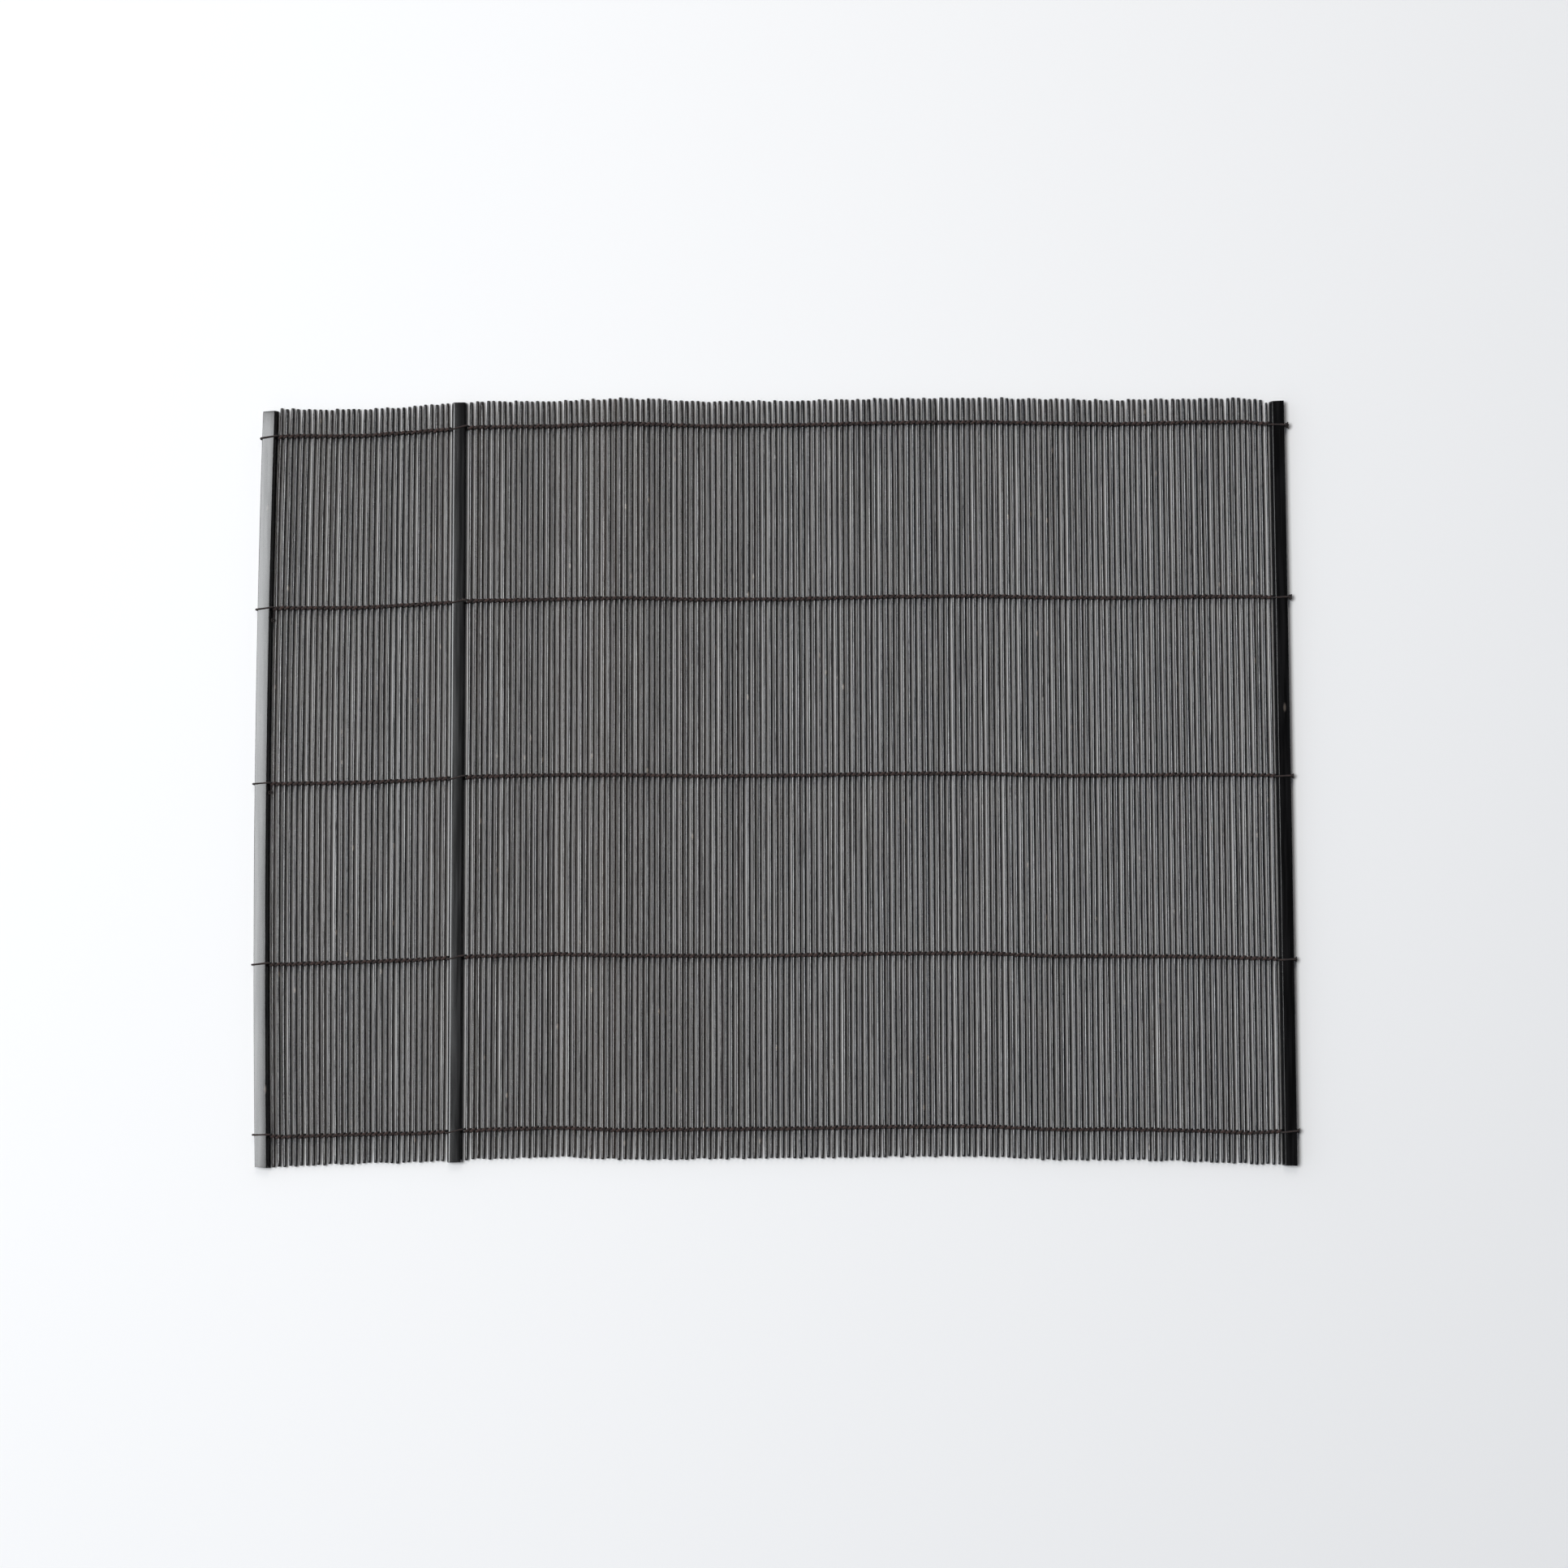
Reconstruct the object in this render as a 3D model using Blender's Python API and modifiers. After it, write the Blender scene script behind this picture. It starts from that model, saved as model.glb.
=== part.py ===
"""Bamboo placemat: thin round sticks and three flat slats, tied by five rows of thread.

The mat lies flat. X runs across the sticks, Y along them and Z up. The origin is at the centre
of the mat's box, on the surface it rests on. Sizes are in metres.
"""

import math
import random

import bmesh
import bpy
from mathutils import Matrix, Vector

MM = 0.001

# Heights above the surface: the lower run of thread lies on it and carries the bamboo.
THREAD_THICKNESS = 0.5 * MM
THREAD_WIDTH = 1.5 * MM
CLEARANCE = 0.3 * MM
BAMBOO_UNDERSIDE = THREAD_THICKNESS + CLEARANCE

STICK_SIDES = 6
STICK_WIDTH_MAX = 1.62 * MM
STICK_WIDTH_MIN = 1.48 * MM
STICK_END_WANDER = 0.35 * MM
STICK_SIDE_WANDER = 0.10 * MM
STICK_AXIS_HEIGHT = BAMBOO_UNDERSIDE + STICK_WIDTH_MAX / 2
SEED = 31

SLAT_THICKNESS = 2.8 * MM
SLAT_CUTS = 12
BOWED_STICK_CUTS = 3

# Each slat's bevels are how far its upper face stands back from its left and right lower edges.
# Its axis runs through three points, so a slat can be a little bowed.
SLAT_COLUMNS = (
    "name", "far_x", "mid_x", "near_x", "width", "left_bevel", "right_bevel", "far_end", "near_end"
)
SLAT_ROWS = (
    ("slat_left", -220.0, -222.1, -220.5, 7.0, 0.4, 1.2, 161.2, -168.0),
    ("slat_middle", -137.3, -137.5, -137.7, 6.9, 0.9, 0.9, 164.8, -166.0),
    ("slat_right", 220.9, 221.5, 221.8, 6.8, 1.1, 0.5, 164.5, -168.4),
)
SLATS = [dict(zip(SLAT_COLUMNS, row)) for row in SLAT_ROWS]

# A run of sticks fills the space between two slats. The gaps are from the slats' sides to the
# axes of the first and the last stick.
RUN_COLUMNS = ("name", "left_slat", "right_slat", "sticks", "left_gap", "right_gap", "cuts")
RUN_ROWS = (
    ("sticks_left", 0, 1, 31, 1.25, 1.75, BOWED_STICK_CUTS),
    ("sticks_right", 1, 2, 145, 1.75, 1.25, 1),
)
RUNS = [dict(zip(RUN_COLUMNS, row)) for row in RUN_ROWS]

# How far the sticks have crept along Y: where their far and near ends lie, across the mat.
END_COLUMNS = ("x", "far", "near")
END_ROWS = (
    (-230, 162.6, -168.2),
    (-205, 162.4, -167.4),
    (-180, 162.2, -166.5),
    (-155, 163.8, -166.1),
    (-130, 165.6, -164.8),
    (-95, 165.8, -163.8),
    (-65, 167.0, -165.1),
    (-30, 165.4, -164.9),
    (10, 165.6, -164.7),
    (50, 166.5, -164.2),
    (90, 166.7, -164.2),
    (120, 166.1, -165.8),
    (150, 165.5, -165.8),
    (185, 166.1, -166.7),
    (205, 166.2, -167.7),
    (230, 164.3, -168.4),
)
ENDS = [dict(zip(END_COLUMNS, row)) for row in END_ROWS]

# Each row of thread crosses every stick at the same share of its length, from the near end.
THREAD_ROW_SHARES = (0.9652, 0.7357, 0.5023, 0.2643, 0.0395)

# The sticks of a run are one body, joined by two thin bars that lie under the thread.
BAR_ROWS = (1, 3)
BAR_WIDTH = 1.1 * MM
BAR_HEIGHT = 0.5 * MM
STICKS_PER_BAR_STEP = 6

LOOP_REACH = 1.4 * MM
KNOT_CENTRE_REACH = 1.45 * MM
KNOT_CENTRE_HEIGHT = 1.35 * MM
KNOT_RADII = (0.95 * MM, 1.3 * MM, 1.2 * MM)
KNOT_SEGMENTS = 8
KNOT_RINGS = 5

STICK_COLOUR = (0.030, 0.028, 0.029, 1.0)
STICK_ROUGHNESS = 0.42
SLAT_COLOUR = (0.022, 0.021, 0.022, 1.0)
SLAT_ROUGHNESS = 0.32
THREAD_COLOUR = (0.040, 0.022, 0.019, 1.0)
THREAD_ROUGHNESS = 0.85

# Half of the mat's length, the reach over which a slat's bow is drawn.
BOW_REACH = 165.5 * MM


def clear_scene():
    for obj in list(bpy.data.objects):
        bpy.data.objects.remove(obj, do_unlink=True)


def new_collection(name):
    collection = bpy.data.collections.new(name)
    bpy.context.scene.collection.children.link(collection)
    return collection


def make_material(name, colour, roughness):
    material = bpy.data.materials.new(name)
    material.use_nodes = True
    shader = material.node_tree.nodes["Principled BSDF"]
    shader.inputs["Base Color"].default_value = colour
    shader.inputs["Roughness"].default_value = roughness
    shader.inputs["Metallic"].default_value = 0.0
    return material


def make_object(name, bm, collection, material=None):
    mesh = bpy.data.meshes.new(name)
    bmesh.ops.recalc_face_normals(bm, faces=bm.faces)
    bm.to_mesh(mesh)
    bm.free()
    if material:
        mesh.materials.append(material)
    obj = bpy.data.objects.new(name, mesh)
    collection.objects.link(obj)
    return obj


def end_at(x, column):
    """Where the bamboo ends along Y at x, read from the table of ends."""
    x_mm = x / MM
    for left, right in zip(ENDS, ENDS[1:]):
        if x_mm <= right["x"]:
            break
    share = (x_mm - left["x"]) / (right["x"] - left["x"])
    return (left[column] + share * (right[column] - left[column])) * MM


def row_y(row, x):
    """Where a row of thread lies along Y at x."""
    near = end_at(x, "near")
    return near + THREAD_ROW_SHARES[row] * (end_at(x, "far") - near)


def slat_x(slat, y):
    """The slat's axis, a parabola through its far, middle and near points."""
    u = y / BOW_REACH
    slope = (slat["far_x"] - slat["near_x"]) / 2
    bow = (slat["far_x"] + slat["near_x"]) / 2 - slat["mid_x"]
    return (slat["mid_x"] + slope * u + bow * u * u) * MM


def slat_side(slat, y, side):
    """X of the slat's lower left (side -1) or right (side 1) edge."""
    return slat_x(slat, y) + side * slat["width"] * MM / 2


def cut_across(bm, geometry, positions, axis):
    """Cut the geometry by planes square to an axis, so that it can be bent there."""
    for position in positions:
        point = Vector((0.0, 0.0, 0.0))
        point[axis] = position
        normal = Vector((0.0, 0.0, 0.0))
        normal[axis] = 1.0
        result = bmesh.ops.bisect_plane(bm, geom=geometry, plane_co=point, plane_no=normal)
        geometry = list(set(geometry + result["geom"] + result["geom_cut"]))
        geometry = [item for item in geometry if item.is_valid]
    return geometry


def spread(start, end, steps):
    return [start + (end - start) * index / steps for index in range(steps + 1)]


def make_slat(slat, collection):
    far = slat["far_end"] * MM
    near = slat["near_end"] * MM
    bm = bmesh.new()
    bmesh.ops.create_cube(bm, size=1.0)
    for vert in bm.verts:
        side = 1 if vert.co.x > 0 else -1
        bevel = slat["right_bevel"] if side > 0 else slat["left_bevel"]
        reach = slat["width"] / 2 - (bevel if vert.co.z > 0 else 0.0)
        vert.co.x = side * reach * MM
        vert.co.y = far if vert.co.y > 0 else near
        vert.co.z = BAMBOO_UNDERSIDE + (SLAT_THICKNESS if vert.co.z > 0 else 0.0)
    cut_across(bm, bm.verts[:] + bm.edges[:] + bm.faces[:], spread(near, far, SLAT_CUTS)[1:-1], 1)
    for vert in bm.verts:
        vert.co.x += slat_x(slat, vert.co.y)
    material = make_material(f"{slat['name']}_stained_bamboo", SLAT_COLOUR, SLAT_ROUGHNESS)
    return make_object(slat["name"], bm, collection, material)


def stick_x(run, index, wander, y):
    """A stick's axis, shared out between the sides of the two slats beside its run."""
    first = slat_side(SLATS[run["left_slat"]], y, 1) + run["left_gap"] * MM
    last = slat_side(SLATS[run["right_slat"]], y, -1) - run["right_gap"] * MM
    return first + (last - first) * index / (run["sticks"] - 1) + wander


def run_sticks(run):
    """Each stick's index, width, side wander and ends."""
    chance = random.Random(SEED + run["sticks"])
    sticks = []
    for index in range(run["sticks"]):
        wander = chance.uniform(-STICK_SIDE_WANDER, STICK_SIDE_WANDER)
        x = stick_x(run, index, wander, 0.0)
        sticks.append({
            "index": index,
            "wander": wander,
            "width": chance.uniform(STICK_WIDTH_MIN, STICK_WIDTH_MAX),
            "far": end_at(x, "far") + chance.uniform(-STICK_END_WANDER, STICK_END_WANDER),
            "near": end_at(x, "near") + chance.uniform(-STICK_END_WANDER, STICK_END_WANDER),
        })
    return sticks


def add_stick(bm, run, stick):
    """A six-sided stick along Y with upright left and right faces."""
    length = stick["far"] - stick["near"]
    half_turn = math.pi / STICK_SIDES
    radius = stick["width"] / 2 / math.cos(half_turn)
    place = (
        Matrix.Translation((0.0, (stick["far"] + stick["near"]) / 2, STICK_AXIS_HEIGHT))
        @ Matrix.Diagonal((1.0, 1.0, math.cos(half_turn), 1.0))
        @ Matrix.Rotation(math.pi / 2, 4, "X")
    )
    made = bmesh.ops.create_cone(
        bm, cap_ends=True, segments=STICK_SIDES, radius1=radius, radius2=radius, depth=length, matrix=place
    )
    verts = made["verts"]
    faces = {face for vert in verts for face in vert.link_faces}
    edges = {edge for vert in verts for edge in vert.link_edges}
    cuts = spread(stick["near"], stick["far"], run["cuts"])[1:-1]
    geometry = cut_across(bm, verts + list(edges) + list(faces), cuts, 1)
    for vert in {item for item in geometry if isinstance(item, bmesh.types.BMVert)}:
        vert.co.x += stick_x(run, stick["index"], stick["wander"], vert.co.y)


def bar_positions(run, sticks, row):
    """X of the bar's ends and bends: stick axes, so that no bend shows in a gap."""
    picked = sticks[::STICKS_PER_BAR_STEP]
    if picked[-1] is not sticks[-1]:
        picked = picked + [sticks[-1]]
    y = row_y(row, 0.0)
    return [stick_x(run, stick["index"], stick["wander"], y) for stick in picked]


def make_bar(run, sticks, row, collection):
    """A thin bar along a row of thread, from the first stick's axis to the last one's."""
    positions = bar_positions(run, sticks, row)
    bm = bmesh.new()
    bmesh.ops.create_cube(bm, size=1.0)
    for vert in bm.verts:
        vert.co.x = positions[-1] if vert.co.x > 0 else positions[0]
        vert.co.y *= BAR_WIDTH
        vert.co.z = STICK_AXIS_HEIGHT + vert.co.z * BAR_HEIGHT
    cut_across(bm, bm.verts[:] + bm.edges[:] + bm.faces[:], positions[1:-1], 0)
    for vert in bm.verts:
        vert.co.y += row_y(row, vert.co.x)
    return make_object(f"{run['name']}_bar_{row + 1}", bm, collection)


def hide_cutter(obj):
    obj.hide_render = True
    obj.display_type = "WIRE"


def join_by_union(obj, other, name):
    modifier = obj.modifiers.new(name, "BOOLEAN")
    modifier.operation = "UNION"
    modifier.solver = "EXACT"
    modifier.object = other


def make_run(run, collection, cutters):
    sticks = run_sticks(run)
    bm = bmesh.new()
    for stick in sticks:
        add_stick(bm, run, stick)
    material = make_material(f"{run['name']}_stained_bamboo", STICK_COLOUR, STICK_ROUGHNESS)
    obj = make_object(run["name"], bm, collection, material)
    for row in BAR_ROWS:
        bar = make_bar(run, sticks, row, cutters)
        hide_cutter(bar)
        join_by_union(obj, bar, f"bar_{row + 1}")
    return obj


def thread_profile(row):
    """The thread row's outer surface as a closed line in X and Z.

    It lies flat under the mat, loops round the outer edge of each end slat, and steps down from
    each slat to the tops of the sticks.
    """
    y = row_y(row, 0.0)
    left, middle, right = SLATS
    stick_top = BAMBOO_UNDERSIDE + STICK_WIDTH_MAX + CLEARANCE + THREAD_THICKNESS
    slat_top = BAMBOO_UNDERSIDE + SLAT_THICKNESS + CLEARANCE + THREAD_THICKNESS
    wrap = CLEARANCE + THREAD_THICKNESS
    left_edge = slat_side(left, y, -1)
    right_edge = slat_side(right, y, 1)
    loop_height = slat_top / 2

    over = [
        (left_edge - wrap, 0.0),
        (left_edge - LOOP_REACH, loop_height),
        (left_edge + left["left_bevel"] * MM - wrap, slat_top),
        (slat_side(left, y, 1) - left["right_bevel"] * MM + wrap, slat_top),
        (slat_side(left, y, 1) + wrap, stick_top),
    ]
    over += [(bend, stick_top) for bend in bends_between(over[-1][0], slat_side(middle, y, -1) - wrap)]
    over += [
        (slat_side(middle, y, -1) - wrap, stick_top),
        (slat_side(middle, y, -1) + middle["left_bevel"] * MM - wrap, slat_top),
        (slat_side(middle, y, 1) - middle["right_bevel"] * MM + wrap, slat_top),
        (slat_side(middle, y, 1) + wrap, stick_top),
    ]
    over += [(bend, stick_top) for bend in bends_between(over[-1][0], slat_side(right, y, -1) - wrap)]
    over += [
        (slat_side(right, y, -1) - wrap, stick_top),
        (slat_side(right, y, -1) + right["left_bevel"] * MM - wrap, slat_top),
        (right_edge - right["right_bevel"] * MM + wrap, slat_top),
        (right_edge + LOOP_REACH, loop_height),
        (right_edge + wrap, 0.0),
    ]
    under = [(bend, 0.0) for bend in bends_between(left_edge - wrap, right_edge + wrap)]
    return over + under[::-1]


def bends_between(start, end):
    """The table's X values between two places, where the row's line across the mat turns."""
    return [entry["x"] * MM for entry in ENDS if start < entry["x"] * MM < end]


def make_knot(row, collection):
    """The knot at the right end of a row."""
    edge = slat_side(SLATS[-1], row_y(row, 0.0), 1)
    x = edge + KNOT_CENTRE_REACH
    bm = bmesh.new()
    place = Matrix.Translation((x, row_y(row, x), KNOT_CENTRE_HEIGHT)) @ Matrix.Diagonal((*KNOT_RADII, 1.0))
    bmesh.ops.create_uvsphere(bm, u_segments=KNOT_SEGMENTS, v_segments=KNOT_RINGS, radius=1.0, matrix=place)
    return make_object(f"thread_knot_{row + 1}", bm, collection)


def make_thread_row(row, collection, cutters):
    """A band of thread right round the mat, with its knot."""
    name = f"thread_row_{row + 1}"
    bm = bmesh.new()
    verts = [bm.verts.new((x, row_y(row, x) - THREAD_WIDTH / 2, z)) for x, z in thread_profile(row)]
    edges = [bm.edges.new(pair) for pair in zip(verts, verts[1:] + verts[:1])]
    made = bmesh.ops.extrude_edge_only(bm, edges=edges)
    moved = [item for item in made["geom"] if isinstance(item, bmesh.types.BMVert)]
    bmesh.ops.translate(bm, verts=moved, vec=(0.0, THREAD_WIDTH, 0.0))
    material = make_material(f"{name}_brown_thread", THREAD_COLOUR, THREAD_ROUGHNESS)
    obj = make_object(name, bm, collection, material)
    wall = obj.modifiers.new("thickness", "SOLIDIFY")
    wall.thickness = THREAD_THICKNESS
    wall.offset = -1.0
    wall.use_even_offset = True
    knot = make_knot(row, cutters)
    hide_cutter(knot)
    join_by_union(obj, knot, "knot")
    return obj


def centre_on_origin(objects):
    """Move every piece so that the mat's box is centred over the origin."""
    bpy.context.view_layer.update()
    depsgraph = bpy.context.evaluated_depsgraph_get()
    low = Vector((math.inf, math.inf))
    high = -low
    for obj in objects:
        for vert in obj.evaluated_get(depsgraph).data.vertices:
            for axis in range(2):
                low[axis] = min(low[axis], vert.co[axis])
                high[axis] = max(high[axis], vert.co[axis])
    centre = (low + high) / 2
    for obj in bpy.data.objects:
        obj.location = (-centre.x, -centre.y, 0.0)


def build():
    clear_scene()
    parts = new_collection("bamboo_placemat")
    cutters = new_collection("cutters")

    objects = [make_slat(slat, parts) for slat in SLATS]
    objects += [make_run(run, parts, cutters) for run in RUNS]
    objects += [make_thread_row(row, parts, cutters) for row in range(len(THREAD_ROW_SHARES))]
    centre_on_origin(objects)


build()
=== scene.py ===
import math
import random

import bpy
from mathutils import Matrix, Vector


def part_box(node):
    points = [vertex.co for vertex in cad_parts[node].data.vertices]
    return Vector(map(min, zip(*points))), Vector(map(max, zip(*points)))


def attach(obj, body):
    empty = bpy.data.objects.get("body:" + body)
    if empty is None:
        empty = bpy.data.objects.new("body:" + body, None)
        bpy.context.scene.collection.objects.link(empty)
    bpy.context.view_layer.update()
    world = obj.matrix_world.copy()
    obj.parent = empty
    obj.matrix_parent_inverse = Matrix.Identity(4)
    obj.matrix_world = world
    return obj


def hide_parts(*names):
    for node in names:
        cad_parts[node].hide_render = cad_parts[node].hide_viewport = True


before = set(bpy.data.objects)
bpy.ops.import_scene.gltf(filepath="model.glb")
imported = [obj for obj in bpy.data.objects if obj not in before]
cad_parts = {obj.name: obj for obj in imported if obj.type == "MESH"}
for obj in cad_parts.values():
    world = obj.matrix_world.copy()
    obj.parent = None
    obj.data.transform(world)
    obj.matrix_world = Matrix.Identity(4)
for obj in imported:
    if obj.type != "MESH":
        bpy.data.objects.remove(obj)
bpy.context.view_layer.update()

MM = 0.001

# The mat's own measures, as its solids have them: heights above the surface it lies on.
BAMBOO_UNDERSIDE = 0.8 * MM
STICK_WIDTH_MAX = 1.62 * MM
STICK_WIDTH_MIN = 1.48 * MM
STICK_END_WANDER = 0.35 * MM
STICK_SIDE_WANDER = 0.10 * MM
STICK_AXIS_HEIGHT = BAMBOO_UNDERSIDE + STICK_WIDTH_MAX / 2
STICK_SEED = 31
SLAT_THICKNESS = 2.8 * MM
BOW_REACH = 165.5 * MM

# Each slat's axis runs through three points. far_skew and near_skew are how much longer its
# right side is than its left one at each end, and far_lean and near_lean are how many degrees
# its face is turned to the right there.
SLAT_COLUMNS = (
    "name", "node", "far_x", "mid_x", "near_x", "width", "left_bevel", "right_bevel",
    "far_end", "near_end", "far_skew", "near_skew", "far_lean", "near_lean",
)
SLAT_ROWS = (
    ("left_slat", "slat_left", -220.0, -222.1, -220.5, 7.0, 0.4, 1.2, 161.2, -168.0, 0.5, 0.6, -0.8, -1.0),
    ("middle_slat", "slat_middle", -137.3, -137.5, -137.7, 6.9, 0.9, 0.9, 164.8, -166.0, 0.1, -0.1, 1.6, 0.2),
    ("right_slat", "slat_right", 220.9, 221.5, 221.8, 6.8, 1.1, 0.5, 164.5, -168.4, 0.3, 0.2, 0.5, 0.5),
)
SLATS = [dict(zip(SLAT_COLUMNS, row)) for row in SLAT_ROWS]

RUN_COLUMNS = ("name", "node", "left_slat", "right_slat", "sticks", "left_gap", "right_gap")
RUN_ROWS = (
    ("left_stick_run", "sticks_left", 0, 1, 31, 1.25, 1.75),
    ("right_stick_run", "sticks_right", 1, 2, 145, 1.75, 1.25),
)
RUNS = [dict(zip(RUN_COLUMNS, row)) for row in RUN_ROWS]

END_COLUMNS = ("x", "far", "near")
END_ROWS = (
    (-230, 162.6, -168.2),
    (-205, 162.4, -167.4),
    (-180, 162.2, -166.5),
    (-155, 163.8, -166.1),
    (-130, 165.6, -164.8),
    (-95, 165.8, -163.8),
    (-65, 167.0, -165.1),
    (-30, 165.4, -164.9),
    (10, 165.6, -164.7),
    (50, 166.5, -164.2),
    (90, 166.7, -164.2),
    (120, 166.1, -165.8),
    (150, 165.5, -165.8),
    (185, 166.1, -166.7),
    (205, 166.2, -167.7),
    (230, 164.3, -168.4),
)
ENDS = [dict(zip(END_COLUMNS, row)) for row in END_ROWS]
THREAD_ROW_SHARES = (0.9652, 0.7357, 0.5023, 0.2643, 0.0395)

# How far each row's thread strays along Y from its even line, at these places across the mat.
# The first place is the loop at the left slat, and the last is the knot at the right one.
STRAY_PLACES = (-224.5, -212, -137, 0, 124, 205, 225)
STRAY_ROWS = (
    (-1.9, -0.6, 0.0, 0.5, 0.6, 1.0, 0.7),
    (-1.4, -0.7, -0.8, -0.4, -0.2, 0.4, 1.3),
    (-0.5, -0.5, -0.7, -0.6, -0.7, 0.3, 0.8),
    (-0.2, -0.3, 0.0, 0.0, 0.0, 0.3, 0.5),
    (1.0, -0.3, -0.6, -0.3, 0.0, 0.2, 1.6),
)

# The fine stick: how many sides, where its rings lie near a cut end, and how uneven it is.
STICK_SIDES = 12
STICK_STATIONS = 26
END_RINGS = ((0.0, 0.78), (0.12, 0.88), (0.5, 0.93), (2.0, 0.97), (6.0, 1.0))
FLATTENING = 0.05
FACETING = 0.045
SPAN_BOW = 0.13 * MM
FREE_END_SPLAY = 0.16 * MM
HEIGHT_WANDER = 0.04 * MM
FAR_END_DROOP = 0.45 * MM
NEAR_END_DROOP = 0.15 * MM

# The last stick, beside the right slat, is a thin one and a little short.
THIN_STICK = 144
THIN_STICK_SHARE = 0.74
THIN_STICK_SHORT = 0.9 * MM

# The twined thread: each strand passes over one stick and under the next, turning about the
# other strand in the gaps between them.
STRAND_SIDES = 8
ROUND_SIDES = 7
FIBRE_SIDES = 3
STEPS_PER_STICK = 11
STEPS_PER_SLAT = 30
STRAND_HALF_HEIGHT = 0.40 * MM
STRAND_HALF_WIDTH = 0.60 * MM
STRAND_GAP_HALF_WIDTH = 0.42 * MM
TWINE_REACH = 0.48 * MM
SLAT_SQUARENESS = 5.0
LOOP_SIDE = 0.5 * MM
# Over a slat the strand is drawn thinner than in the gaps, so its fullness is below nothing.
SLAT_STRAND_FULLNESS = -0.4
# How much painted lightness a strand thinned over a slat gets for each unit of thinning.
THINNED_TO_LIT = -1.9
PLY_PITCH = 1.5 * MM
# Finish of loose thread and of pale fibres: the first entry is its painted lightness (the loose thread is
# painted to about four tenths by painted shade, the pale fibres not darkened), the second how pale.
FLUFF = (0.6, 0.0, 0.5)
PALE_FLUFF = (1.0, 0.8, 0.5)


# Each row's knot: how far past the right slat's side its middle is, in mm, and its size.
KNOTS = ((0.75, 1.0), (0.75, 0.95), (0.3, 0.72), (0.3, 0.72), (0.2, 0.72))
# Rows with a thread's end beside the left slat, and how far down the end hangs.
TAIL_RADIUS = 0.24 * MM
LEFT_TAILS = ((1, 4.6 * MM), (2, 3.4 * MM))
# Pale fibres caught in the thread: row, place across the mat, and how many.
PALE_FIBRES = ((0, 200.0, 3), (0, -8.0, 2), (1, -137.0, 16), (2, -30.0, 2), (3, 60.0, 2))


def end_at(x, column):
    """Where the bamboo ends along Y at x, read from the table of ends."""
    x_mm = x / MM
    for left, right in zip(ENDS, ENDS[1:]):
        if x_mm <= right["x"]:
            break
    share = (x_mm - left["x"]) / (right["x"] - left["x"])
    return (left[column] + share * (right[column] - left[column])) * MM


def row_y(row, x):
    near = end_at(x, "near")
    return near + THREAD_ROW_SHARES[row] * (end_at(x, "far") - near)


def thread_y(row, x):
    """The row's own line with its stray added, which runs straight from place to place."""
    places, strays = STRAY_PLACES, STRAY_ROWS[row]
    x_mm = min(max(x / MM, places[0]), places[-1])
    index = 0
    while x_mm > places[index + 1]:
        index += 1
    share = (x_mm - places[index]) / (places[index + 1] - places[index])
    return row_y(row, x) + (strays[index] + share * (strays[index + 1] - strays[index])) * MM


def slat_x(slat, y):
    u = y / BOW_REACH
    slope = (slat["far_x"] - slat["near_x"]) / 2
    bow = (slat["far_x"] + slat["near_x"]) / 2 - slat["mid_x"]
    return (slat["mid_x"] + slope * u + bow * u * u) * MM


def slat_side(slat, y, side):
    return slat_x(slat, y) + side * slat["width"] * MM / 2


def stick_x(run, index, wander, y):
    first = slat_side(SLATS[run["left_slat"]], y, 1) + run["left_gap"] * MM
    last = slat_side(SLATS[run["right_slat"]], y, -1) - run["right_gap"] * MM
    return first + (last - first) * index / (run["sticks"] - 1) + wander


def run_sticks(run):
    """Each stick's index, width, side wander and ends, the same as in the solids."""
    chance = random.Random(STICK_SEED + run["sticks"])
    sticks = []
    for index in range(run["sticks"]):
        wander = chance.uniform(-STICK_SIDE_WANDER, STICK_SIDE_WANDER)
        x = stick_x(run, index, wander, 0.0)
        sticks.append({
            "index": index,
            "wander": wander,
            "width": chance.uniform(STICK_WIDTH_MIN, STICK_WIDTH_MAX),
            "far": end_at(x, "far") + chance.uniform(-STICK_END_WANDER, STICK_END_WANDER),
            "near": end_at(x, "near") + chance.uniform(-STICK_END_WANDER, STICK_END_WANDER),
        })
    return sticks


def centring():
    """How far the solids were moved to centre the mat's box over the origin."""
    middle = SLATS[1]
    near_end = middle["near_end"] * MM
    low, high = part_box("slat_middle")
    return Vector((low[0] - slat_side(middle, near_end, -1), low[1] - near_end, 0.0))


SHIFT = centring()


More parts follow.
